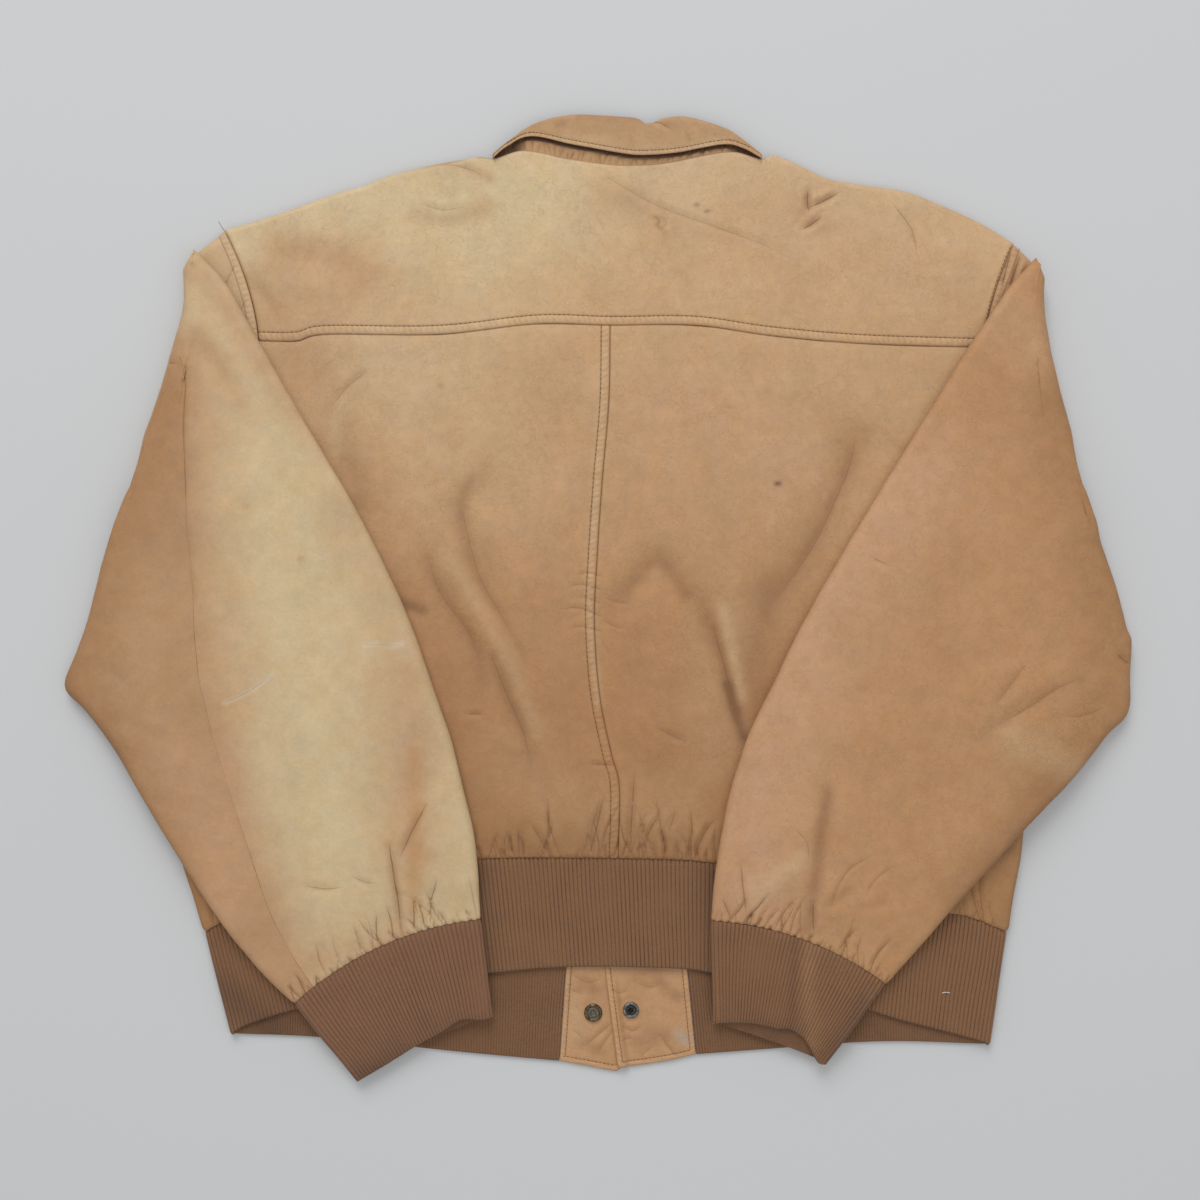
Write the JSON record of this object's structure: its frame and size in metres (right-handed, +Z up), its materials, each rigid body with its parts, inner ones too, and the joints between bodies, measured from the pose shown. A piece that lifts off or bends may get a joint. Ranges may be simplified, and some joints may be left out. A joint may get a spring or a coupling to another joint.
{
  "type": "leather blouson jacket laid flat face down with folded sleeves",
  "caption": "Worn leather blouson with rib-knit cuffs and waistband, laid flat face down, sleeves folded over its back.",
  "frame": {"origin": "on the floor, under the middle of the garment's bounding box", "axes": "+X across the garment to the wearer's right side, +Y from the waistband to the collar, +Z up from the floor, out of the garment's back"},
  "size_m": [0.819, 0.744, 0.024],
  "materials": {
    "leather": "worn tan nappa, soft matte with creases",
    "leather_faded": "worn tan nappa, faded to cream along the sleeve",
    "leather_light": "less faded tan nappa, edge stitched",
    "rib": "brown rib knit, matte and slightly fuzzy",
    "brass": "aged brass, dull",
    "steel": "dark nickel, worn",
    "tape": "brown woven tape, matte"
  },
  "bodies": {
    "root": {"back_left": "leather", "back_right": "leather", "back_yoke": "leather", "front_left": "leather", "front_right": "leather", "front_zip": "tape", "collar_leaf": "leather", "collar_stand": "leather", "sleeve_left_upper": "leather_faded", "sleeve_left_under": "leather", "sleeve_right_upper": "leather_faded", "sleeve_right_under": "leather", "cuff_left": "rib", "cuff_right": "rib", "waistband": "rib", "tab_left": "leather_light", "tab_right": "leather_light", "snap_left": "brass", "snap_right": "steel"}
  },
  "joints": []
}
